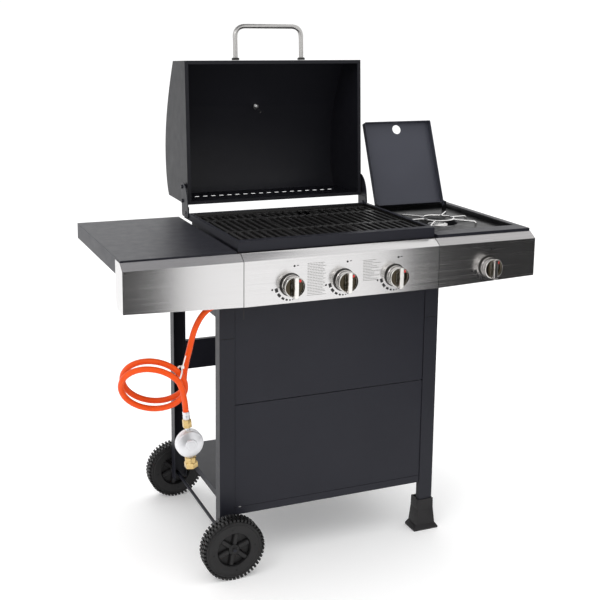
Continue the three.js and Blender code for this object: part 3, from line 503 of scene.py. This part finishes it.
RIBS, HOLE_CIRCLE, HOLE_RADIUS = 6, 49, 2.5
# Black discs just proud of each side wall paint the shade of the wheel's holes; no holes are cut.
hole_painted_shade = Finish("hole_painted_shade", (0.002, 0.002, 0.002, 1), 0.8)
hole_painted_shade.relief(hole_painted_shade.grain(900), 0.2, 0.0002)
for name, depth in (("front", 14.0), ("rear", 477.0)):
    hub = np.array([AXLE_X, depth, WHEEL_RADIUS])
    web = [(15, -4.8), (39, -4.8), (39, 4.8), (15, 4.8), (15, -4.8)]
    boss = [(4.4, -15), (11, -15), (12.6, -13.6), (13.2, 0), (12.6, 13.6), (11, 15), (4.4, 15),
            (4.4, -15)]
    shapes = [turned(tyre, hub, (0, 1, 0), 96), turned(web, hub, (0, 1, 0), 48),
              turned(boss, hub, (0, 1, 0), 32),
              teeth(hub, 6.5, WHEEL_HALF - 0.8, 0.0), teeth(hub, -WHEEL_HALF + 0.8, -6.5, 0.0),
              teeth(hub, -5.5, 5.5, 0.5)]
    shapes += [rib(hub, k / RIBS * math.tau + 0.35, 6.6, 13.2, 13, 37) for k in range(RIBS)]
    wheel = moulding(f"wheel_{name}_moulded", shapes, soft=30)
    settle(wheel, f"wheel_{name}", wheel_plastic, (f"wheel_{name}",))
    holes = moulding(f"wheel_holes_{name}", [
        turned([(0, 16.85 * side), (HOLE_RADIUS, 16.85 * side), (HOLE_RADIUS, 16.0 * side),
                (0, 16.0 * side)],
               hub + HOLE_CIRCLE * np.array([math.cos(a), 0, math.sin(a)]), (0, 1, 0), 12)
        for a in np.arange(4) / 4 * math.tau + 0.1 for side in (-1, 1)])
    settle(holes, f"wheel_{name}", hole_painted_shade)
    outward = -1 if name == "front" else 1
    cap = [(0, 17.4), (2.2, 17.4), (2.6, 18.8), (4.6, 19.4), (5.8, 18.6), (6.2, 16.4), (8.6, 16),
           (9.2, 15.05), (0, 15.05)]
    cap_piece = moulding(f"wheel_cap_{name}", [turned(cap, hub, (0, outward, 0), 24)])
    settle(cap_piece, "cart", wheel_plastic)

# ---- Firebox, grates and burners ------------------------------------------------------
# A folded tub, powder coated outside and glossy black enamel inside, carries three cast
# grates over bent flame tamers and three tube burners.
tub = powder_coat("tub_powder", *ANTHRACITE)
across, along, up = tub.axes()
inside = (across.size().under(0.2352) * along.over(-0.2364) * along.under(0.0995)
          * up.under(0.7668) * up.over(0.6308))
soot = tub.mix(tub.grain(14, detail=6.0), (0.006, 0.006, 0.006, 1), (0.016, 0.015, 0.014, 1))
coated = tub.mix(tub.grain(7), *ANTHRACITE)
tub.feed("Base Color", tub.mix(inside, coated, soot))
tub.feed("Roughness", 0.40 - inside * 0.26)
tub.relief(tub.grain(1400) * (1 - inside), 0.22, 0.0005)
rounded("firebox", 0.0006, tub)

iron = Finish("grate_iron", (0.010, 0.010, 0.010, 1), 0.4, IOR=1.45)
worn = iron.grain(26, detail=6.0)
iron.feed("Base Color", iron.mix(worn, (0.006, 0.006, 0.006, 1), (0.020, 0.019, 0.019, 1)))
iron.feed("Roughness", 0.24 + worn * 0.26)
iron.relief(iron.grain(420, detail=5.0), 0.4, 0.0010)
steel = Finish("plain_steel", (0.50, 0.49, 0.47, 1), 0.32, 1.0)
steel.feed("Base Color", steel.mix(steel.grain(18), (0.40, 0.38, 0.36, 1), (0.60, 0.59, 0.58, 1)))
steel.feed("Roughness", 0.24 + steel.grain(200, (0.05, 1, 1)) * 0.25)
for name in ("left", "middle", "right"):
    rounded(f"grate_{name}", 0.0022, iron)
    coat(f"flame_tamer_{name}", steel)
    coat(f"burner_tube_{name}", steel)
rounded("grease_tray", 0.0005, steel)

# ---- Gas train ------------------------------------------------------------------------
# A zinc-plated manifold pipe behind the fascia feeds four brass valves, whose steel stems
# come out through the panel.
zinc = Finish("zinc_steel", (0.50, 0.50, 0.51, 1), 0.3, 1.0)
zinc.feed("Base Color", zinc.mix(zinc.grain(120), (0.40, 0.40, 0.42, 1), (0.62, 0.62, 0.63, 1)))
zinc.feed("Roughness", 0.25 + zinc.grain(300) * 0.2)
coat("gas_manifold", zinc)
for name in ("left", "middle", "right", "side"):
    coat(f"valve_{name}", brass)
    coat(f"stem_{name}", zinc)

# ---- Control panel and fascias --------------------------------------------------------
# Stainless sheet brushed from side to side. The panel is printed with a power scale round
# each knob: blocks that shrink from high to low, a spark and an off ring.


def brushed(name, dark, light, roughness):
    """Stainless brushed along x: noise drawn out 250 times along x shades the metal,
    varies its gloss and cuts fine lines into it."""
    made = Finish(name, light, roughness, 1.0)
    stroke = made.grain(900, (0.004, 1, 1), detail=5.0)
    made.feed("Base Color", made.mix(stroke, dark, light))
    made.feed("Roughness", roughness - 0.06 + stroke * 0.14)
    made.relief(stroke, 0.12, 0.00010)
    return made


stainless = brushed("panel_stainless", (0.56, 0.55, 0.55, 1), (0.80, 0.79, 0.79, 1), 0.22)
# The right fascia takes the same stainless made darker: painted shade, standing in for the darker
# reflection its face shows.
shaded_steel = brushed("fascia_stainless_painted_dark", (0.36, 0.35, 0.35, 1), (0.52, 0.51, 0.51, 1), 0.24)
rounded("control_panel", 0.0006, stainless)
rounded("left_fascia", 0.0006, stainless)
rounded("right_fascia", 0.0006, shaded_steel)

# Thin black strips in the joints between the three steel pieces paint the shade in the gaps.
joint_painted_shade = Finish("joint_painted_shade", (0.01, 0.01, 0.01, 1), 0.7)
joint_painted_shade.relief(joint_painted_shade.grain(600), 0.2, 0.0003)
SEAM_X, SEAM_HALF = 240.15, 0.75
SEAM_FROM, CREASE, SEAM_TOP, BEVEL_BACK = 604.0, 731.0, 745.0, 22.0
seams = []
for side in (-1, 1):
    outline = np.array([(-0.12, SEAM_FROM), (-0.12, CREASE), (BEVEL_BACK, SEAM_TOP + 0.12),
                        (BEVEL_BACK, SEAM_TOP - 1.0), (0.9, CREASE - 0.5), (0.9, SEAM_FROM)])
    strip = np.array([[(side * SEAM_X + half, y, z) for y, z in outline]
                      for half in (-SEAM_HALF, SEAM_HALF)])
    faces = [(k, (k + 1) % 6, 6 + (k + 1) % 6, 6 + k) for k in range(6)]
    faces += [(0, 4, 5), (0, 1, 4), (1, 3, 4), (1, 2, 3)]
    faces += [(6, 11, 10), (6, 10, 7), (7, 10, 9), (7, 9, 8)]
    seams.append((strip.reshape(-1, 3), faces))
print_ink = Finish("print_ink", (0.012, 0.012, 0.013, 1), 0.5)
print_ink.relief(print_ink.grain(1500), 0.15, 0.0002)
seam_piece = moulding("fascia_joint_shade_strips", seams)
settle(seam_piece, "cart", joint_painted_shade)
KNOB_X = {"left": -132.0, "middle": -4.0, "right": 124.0, "side": 373.0}
KNOB_Z = 672.0
INK = (-0.12, -0.02)


def printed(centre, angle, radius, wide, tall):
    """A block of ink, turned to face the knob's centre, just proud of the panel."""
    points, faces = block((radius - tall / 2, INK[0], -wide / 2),
                          (radius + tall / 2, INK[1], wide / 2))
    c, s = math.cos(angle), math.sin(angle)
    turn = np.array([[c, 0, s], [0, 1, 0], [-s, 0, c]])
    return points @ turn + centre, faces


SCALE_RADIUS = 34.5
for name, x in KNOB_X.items():
    centre = np.array([x, 0, KNOB_Z])
    marks = []
    for degrees, wide, tall in ((197, 9.4, 7.2), (219, 9.0, 6.4), (239, 7.0, 5.2), (255, 5.2, 4.2),
                                (268, 3.6, 3.2), (279, 2.6, 2.4), (288, 2.0, 1.8)):
        marks.append(printed(centre, math.radians(degrees), SCALE_RADIUS, wide, tall))
    for degrees in (0, 45, 90, 135):
        marks.append(printed(centre + (-43.0, 0, -8.5), math.radians(degrees), 0.0, 1.1, 5.0))
    marks.append(turned([(0, INK[0]), (2.5, INK[0]), (2.5, INK[1]), (0, INK[1])],
                        centre + (9, 0, 41), (0, 1, 0), 20))
    marks.append(printed(centre + (17, 0, 42), 0.0, 0.0, 1.6, 5.0))
    scale_print = moulding(f"power_scale_{name}", marks)
    settle(scale_print, "cart", print_ink)

# The printed notes beside the knobs are only rules: short grey dashes in rows.
rules = []
for left, right, top, bottom, ragged in ((-92, -47, 716, 642, 8), (44, 88, 712, 664, 24),
                                         (176, 222, 692, 646, 12)):
    for row, z in enumerate(np.arange(top, bottom, -3.6)):
        end = right - ragged * (0.5 + 0.5 * math.sin(row * 2.4))
        x = left
        while x < end - 1:
            run = min(3.2 + 2.6 * math.sin(row * 5.1 + x) ** 2, end - x)
            rules.append(block((x, INK[0], z - 0.55), (x + run, INK[1], z + 0.55)))
            x += run + 1.3
faint_ink = Finish("faint_ink", (0.16, 0.155, 0.15, 1), 0.5)
faint_ink.relief(faint_ink.grain(1500), 0.15, 0.0002)
notes = moulding("panel_note_rules", rules)
settle(notes, "cart", faint_ink)

# ---- Knobs ----------------------------------------------------------------------------
# Chromed plastic, 48 mm across: a round skirt with a tall grip bar across its face and a
# red pointer dot. A dark chrome plate on each lobe paints the lobe's dark reflection, and a
# dark ring on the panel round each knob paints its shadow.
chrome = Finish("knob_chrome", (0.82, 0.80, 0.77, 1), 0.16, 1.0)
chrome.feed("Roughness", 0.12 + chrome.grain(160) * 0.12)
chrome.relief(chrome.grain(500), 0.05, 0.0002)
black_collar_and_shadow = Finish("black_collar_and_shadow", (0.02, 0.018, 0.016, 1), 0.3)
black_collar_and_shadow.feed("Roughness", 0.22 + black_collar_and_shadow.grain(300) * 0.2)
pointer_red = Finish("pointer_red", (0.80, 0.025, 0.02, 1), 0.45)
pointer_red.relief(pointer_red.grain(900), 0.1, 0.0002)


def eased(value):
    """Cubic ease of a share held between 0 and 1: 3 v^2 - 2 v^3."""
    value = np.clip(value, 0, 1)
    return value * value * (3 - 2 * value)


def knob_shape(centre):
    """Rings of (radius, angle) points carried forward: the face stands at 27.5 mm, drops
    4.5 mm into two flat lobes, and rises to 36.8 mm under a bar 11 mm wide. The rim rolls."""
    radius = np.concatenate([np.linspace(0, 22.5, 26), [23.0, 23.5, 23.8, 24.0]])[:, None]
    roll = np.concatenate([np.zeros(26), [0.15, 0.5, 1.0, 1.9]])[:, None]
    angle = np.arange(120)[None, :] / 120 * math.tau
    x, z = radius * np.cos(angle), radius * np.sin(angle)
    bar = eased((6.6 - np.abs(x)) / 2.2)
    lobe = eased((np.abs(x) - 5.4) / 1.2) * eased((22.6 - radius) / 1.0)
    y = -(27.5 - 4.5 * lobe + 9.3 * bar - roll)
    skirt = np.array([(24.0, -14), (23.4, -13), (23.4, -12), (24.0, -11), (24.0, -5), (23.4, -4.1),
                      (0, -4.1)])
    side_x = skirt[:, 0:1] * np.cos(angle)
    side_z = skirt[:, 0:1] * np.sin(angle)
    side_y = skirt[:, 1:2] + 0 * angle
    points = np.stack([np.vstack([x, side_x]), np.vstack([y, side_y]), np.vstack([z, side_z])], -1)
    return points.reshape(-1, 3) + centre, grid_faces(len(points), 120)


def lobe_plate(centre, side):
    """A D-shaped plate on a lobe's floor: an arc of radius 21.3 closed by a chord 7 mm off
    the middle, drawn in to its own middle front and back."""
    half_turn = math.acos(7.0 / 21.3)
    t = np.linspace(-half_turn, half_turn, 25)
    rim = np.stack([side * 21.3 * np.cos(t), 0 * t, 21.3 * np.sin(t)], -1)
    middle = np.array([side * 13.0, 0, 0])
    rings = [(0, -22.9), (1, -22.9), (1, -23.25), (0.97, -23.35), (0, -23.35)]
    points = np.stack([middle + (rim - middle) * scale + (0, y, 0) for scale, y in rings])
    return points.reshape(-1, 3) + centre, grid_faces(len(rings), 25)


# The lobe plates are a dark, brownish copy of the chrome: painted reflection of dark surroundings
# on the lobes.
lobe_painted_reflection = Finish("lobe_chrome_painted_reflection", (0.055, 0.045, 0.030, 1), 0.16, 0.9)
lobe_painted_reflection.feed("Roughness", 0.12 + lobe_painted_reflection.grain(300) * 0.12)
for name, x in KNOB_X.items():
    centre = np.array([x, 0, KNOB_Z])
    lobes = moulding(f"knob_{name}_lobes", [lobe_plate(centre, -1), lobe_plate(centre, 1)])
    settle(lobes, f"knob_{name}", lobe_painted_reflection)
    knob = moulding(f"knob_{name}_chromed", [knob_shape(centre)], soft=40)
    settle(knob, f"knob_{name}", chrome, (f"knob_{name}",))
    dot = moulding(f"knob_{name}_dot", [turned(
        [(0, -24.1), (2.7, -24.1), (3.0, -23.8), (3.0, -23), (0, -23)],
        centre + (12.8, 0, 12.5), (0, 1, 0), 20)])
    settle(dot, f"knob_{name}", pointer_red)
    # A dark ring on the panel round each knob paints the knob's shadow; the same black serves the
    # handle's real collars.
    seat = moulding(f"knob_shadow_ring_{name}", [turned(
        [(9, -0.75), (25.2, -0.75), (26.4, -0.1), (9, -0.1), (9, -0.75)], centre, (0, 1, 0), 48)])
    settle(seat, "cart", black_collar_and_shadow)

# ---- Side shelves and side burner -----------------------------------------------------
# The left shelf is a folded pan turned over. The right one frames an enamelled pan with a
# well, a burner head with a machined cap, and a chromed wire trivet.
rounded("left_shelf", 0.0008, anthracite)
rounded("side_burner_frame", 0.0008, anthracite)
enamel = Finish("pan_enamel", (0.005, 0.005, 0.006, 1), 0.3, IOR=1.3)
enamel.feed("Base Color", enamel.mix(enamel.grain(22, detail=6.0), (0.003, 0.003, 0.004, 1),
                                     (0.010, 0.010, 0.010, 1)))
enamel.feed("Roughness", 0.22 + enamel.grain(60) * 0.18)
enamel.relief(enamel.grain(160), 0.1, 0.0005)
rounded("side_burner_pan", 0.0005, enamel)
cooker = np.array([361.0, 219.0, 0.0])
cast = Finish("burner_cast", (0.30, 0.29, 0.28, 1), 0.45, 0.9)
cast.feed("Base Color", cast.mix(cast.grain(90), (0.20, 0.19, 0.18, 1), (0.42, 0.41, 0.39, 1)))
cast.feed("Roughness", 0.35 + cast.grain(400) * 0.25)
cast.relief(cast.grain(1000), 0.3, 0.0004)
coat("side_burner_head", cast)
cap_steel = Finish("cap_steel", (0.80, 0.79, 0.77, 1), 0.22, 1.0)
cap_steel.feed("Roughness", 0.16 + cap_steel.grain(250) * 0.2)
burner_cap = [(0, 733.6), (19, 733.6), (24.6, 732.4), (26.2, 733.4), (25.2, 735.4), (20, 736.6),
              (0, 737)]
cap_piece = moulding("side_burner_cap", [turned(burner_cap, cooker, (0, 0, 1), 40)])
settle(cap_piece, "cart", cap_steel)

wire_chrome = Finish("wire_chrome", (0.84, 0.83, 0.82, 1), 0.12, 1.0)
wire_chrome.feed("Roughness", 0.09 + wire_chrome.grain(200) * 0.12)
WIRE, WIRE_TOP, PAN_FLOOR = 2.4, 750.0, 739.5


def bent(points, radius, steps=6):
    """A path of straight runs with each corner replaced by a quadratic curve that starts and
    ends radius short of it."""
    points = np.asarray(points, float)
    path = [points[:1]]
    t = np.linspace(0, 1, steps)[:, None]
    for before, corner, after in zip(points, points[1:], points[2:]):
        a = corner + unit(before - corner) * radius
        b = corner + unit(after - corner) * radius
        path.append((1 - t) ** 2 * a + 2 * t * (1 - t) * corner + t**2 * b)
    return np.vstack([*path, points[-1:]])


circle = np.arange(49)[:, None] / 48 * math.tau
ring_line = cooker + (0, 0, WIRE_TOP) + 40 * np.hstack([np.cos(circle), np.sin(circle), 0 * circle])
ring_side = np.arange(10) / 10 * math.tau
ring_out = unit(ring_line[:-1] - cooker - (0, 0, WIRE_TOP))
ring_points = (ring_line[:-1, None] + WIRE * np.cos(ring_side)[None, :, None] * ring_out[:, None]
               + WIRE * np.sin(ring_side)[None, :, None] * np.array([0, 0, 1.0]))
wires = [(ring_points.reshape(-1, 3), grid_faces(48, 10, True, True))]
wire_foot, wire_top = cooker + (0, 0, PAN_FLOOR + 0.4), cooker + (0, 0, WIRE_TOP)
for degrees, reach in ((0, 82), (48, 99), (130, 99), (180, 82), (230, 99), (312, 99)):
    angle = math.radians(degrees)
    outward = np.array([math.cos(angle), math.sin(angle), 0])
    beside = np.array([-math.sin(angle), math.cos(angle), 0])
    arm = bent([wire_top + outward * 37, wire_top + outward * reach,
                wire_foot + outward * reach], 6)
    wires.append(swept(arm, WIRE, 10, beside))
trivet = moulding("side_trivet_wires", wires, soft=50)
settle(trivet, "trivet", wire_chrome, ("side_trivet",))

# ---- Side cover -----------------------------------------------------------------------
# A pressed pan with rounded corners and a thumb hole; it leans back open on two pins. Its
# paint is the cart's made several times lighter: painted light, for the light its open face
# catches.
cover_paint_painted_light = powder_coat("cover_powder_painted_light", (0.046, 0.048, 0.062, 1), (0.062, 0.065, 0.082, 1), 0.36)
rounded("side_lid", 0.0006, cover_paint_painted_light)

# ---- Main lid -------------------------------------------------------------------------
# A folded and swept hood on two hinge arms, with a row of vents, a tube handle on black
# collars and a dial thermometer screwed through the roof.
hood_paint = powder_coat("hood_powder", (0.0085, 0.0086, 0.0118, 1), (0.0120, 0.0121, 0.0165, 1),
                         0.44)
rounded("lid_shell", 0.0007, hood_paint, soft=28)
rounded("hinge_arm_left", 0.0005, anthracite)
rounded("hinge_arm_right", 0.0005, anthracite)

PIVOT = np.array([0, 408.0, 768.0])
OPEN = math.radians(-93.3)


def turn_about_x(angle):
    """The matrix of a turn by that angle from y towards z."""
    c, s = math.cos(angle), math.sin(angle)
    return np.array([[1, 0, 0], [0, c, -s], [0, s, c]])


swing = turn_about_x(OPEN)


def on_lid(points):
    """Points drawn on the closed lid from its hinge line, swung to where it rests open."""
    return np.asarray(points, float) @ swing.T + PIVOT


# The handle's chrome is made darker than the knobs': painted shade, for the darker reflections
# along it.
handle_chrome = Finish("handle_chrome", (0.50, 0.49, 0.48, 1), 0.2, 1.0)
handle_chrome.feed("Roughness", 0.16 + handle_chrome.grain(700, (0.02, 1, 1)) * 0.14)
root, reach, up, half_grip = -373.4, -458.3, 50.0, 90
handle_line = bent(on_lid([(-half_grip, root, up), (-half_grip, reach, up), (half_grip, reach, up),
                           (half_grip, root, up)]), 28, 12)
handle = moulding("lid_handle_tube", [
    swept(handle_line, 6.2, 24, swing @ np.array([0, 0, 1.0]))], soft=50)
settle(handle, "lid", handle_chrome, ("lid_handle",))
collar_shape = [(0, -0.1), (9.8, -0.1), (9.8, -4.6), (8.4, -6), (0, -6)]
for name, x in (("left", -half_grip), ("right", half_grip)):
    collar_piece = moulding(f"handle_collar_{name}", [turned(
        collar_shape, on_lid((x, root, up)), swing @ np.array([0, 1.0, 0]), 28)])
    settle(collar_piece, "lid", black_collar_and_shadow)

dial_steel = Finish("dial_steel", (0.72, 0.72, 0.72, 1), 0.2, 1.0)
dial_steel.feed("Roughness", 0.14 + dial_steel.grain(400) * 0.18)
coat("thermometer", dial_steel)
tilt = turn_about_x(math.atan2(135, 328))
GAUGE_SPOT = (4, -256, 168.1)


def on_gauge(shape):
    """A shape drawn on the dial's own plane, leant with the roof and swung with the lid."""
    points, faces = shape
    return on_lid(np.asarray(points) @ tilt.T + GAUGE_SPOT), faces


dial_white = Finish("dial_white", (0.72, 0.72, 0.70, 1), 0.35)
dial_white.relief(dial_white.grain(900), 0.05, 0.0002)
face = moulding("thermometer_face", [on_gauge(turned(
    [(0, 12.55), (20.5, 12.55), (20.5, 12.75), (0, 12.75)], np.zeros(3), (0, 0, 1), 48))])
settle(face, "lid", dial_white)
ticks = [turned([(0, 12.8), (2.4, 12.8), (2.4, 13.5), (0, 13.5)], np.zeros(3), (0, 0, 1), 16)]
TICKS, FIRST_TICK, TICK_STEP = 25, -135, 11.25
for k in range(TICKS):
    a = math.radians(FIRST_TICK + k * TICK_STEP) + math.pi / 2
    long_tick = 4.2 if k % 4 == 0 else 2.2
    bar, bar_faces = block((18.6 - long_tick, -0.3, 12.7), (18.6, 0.3, 12.85))
    c, sn = math.cos(a), math.sin(a)
    ticks.append((bar @ np.array([[c, sn, 0], [-sn, c, 0], [0, 0, 1]]), bar_faces))
pointer, pointer_faces = block((-4, -0.7, 12.9), (14, 0.7, 13.1))
ticks.append((pointer @ np.array([[-0.6, -0.8, 0], [0.8, -0.6, 0], [0, 0, 1]]), pointer_faces))
dial_marks = moulding("thermometer_marks", [on_gauge(shape) for shape in ticks])
settle(dial_marks, "lid", print_ink)

# ---- Studio ---------------------------------------------------------------------------
# A wide pale floor in a white room, with soft boxes above. Two dark cards in front and a
# grey one above, which only reflections meet, give the steel its contrast.
floor_mesh = bpy.data.meshes.new("floor")
floor_mesh.from_pydata([(-60, -60, 0), (60, -60, 0), (60, 60, 0), (-60, 60, 0)], [], [(0, 1, 2, 3)])
floor = bpy.data.objects.new("floor", floor_mesh)
bpy.context.scene.collection.objects.link(floor)
paper = Finish("floor_paper", (0.93, 0.93, 0.93, 1), 0.9, Emission_Color=(1, 1, 1, 1),
               Emission_Strength=0.16)
paper.feed("Roughness", 0.85 + paper.grain(3) * 0.1)
floor_mesh.materials.append(paper.material)

room = bpy.data.worlds.new("room")
bpy.context.scene.world = room
room.use_nodes = True
room.node_tree.nodes["Background"].inputs["Color"].default_value = (1, 1, 1, 1)
room.node_tree.nodes["Background"].inputs["Strength"].default_value = 1.04
bpy.context.scene.view_settings.view_transform = "Standard"

for name, spot, aim, wide, tall, power in (
        ("key", (-2.0, -1.8, 2.8), (0, 0, 0.6), 1.5, 1.5, 16),
        ("rear", (0.3, 2.6, 2.6), (0, 0, 0.9), 2.4, 1.2, 12),
        ("top", (0.2, 0.2, 3.6), (0, 0, 0.7), 2.4, 2.4, 14)):
    box = bpy.data.lights.new(name, "AREA")
    box.shape, box.size, box.size_y, box.energy = "RECTANGLE", wide, tall, power
    lamp = bpy.data.objects.new(name, box)
    bpy.context.scene.collection.objects.link(lamp)
    away = np.array(spot) - np.array(aim)
    lamp.location = spot
    lamp.rotation_euler = (math.atan2(math.hypot(away[0], away[1]), away[2]), 0,
                           math.atan2(away[1], away[0]) + math.pi / 2)
    lamp.visible_camera = False
    lamp.visible_glossy = name != "top"

card_black = Finish("card_black", (0.02, 0.02, 0.02, 1), 0.9)
card_black.relief(card_black.grain(300), 0.2, 0.0003)
card_grey = Finish("card_grey", (0.30, 0.30, 0.31, 1), 0.9)
card_grey.relief(card_grey.grain(300), 0.2, 0.0003)
for name, left, right, front, back, low, high, finish in (
        ("card_left", -0.70, -0.205, -0.95, -0.95, 0, 1.2, card_black),
        ("card_right", 0.50, 1.9, -0.95, -0.95, 0, 1.2, card_black),
        ("card_above", -1.6, 0.42, -1.6, 0.9, 2.3, 2.3, card_grey)):
    mesh = bpy.data.meshes.new(name)
    mesh.from_pydata([(left, front, low), (right, front, low), (right, back, high),
                      (left, back, high)], [], [(0, 1, 2, 3)])
    mesh.materials.append(finish.material)
    card = bpy.data.objects.new(name, mesh)
    bpy.context.scene.collection.objects.link(card)
    card.visible_camera = card.visible_diffuse = card.visible_shadow = False
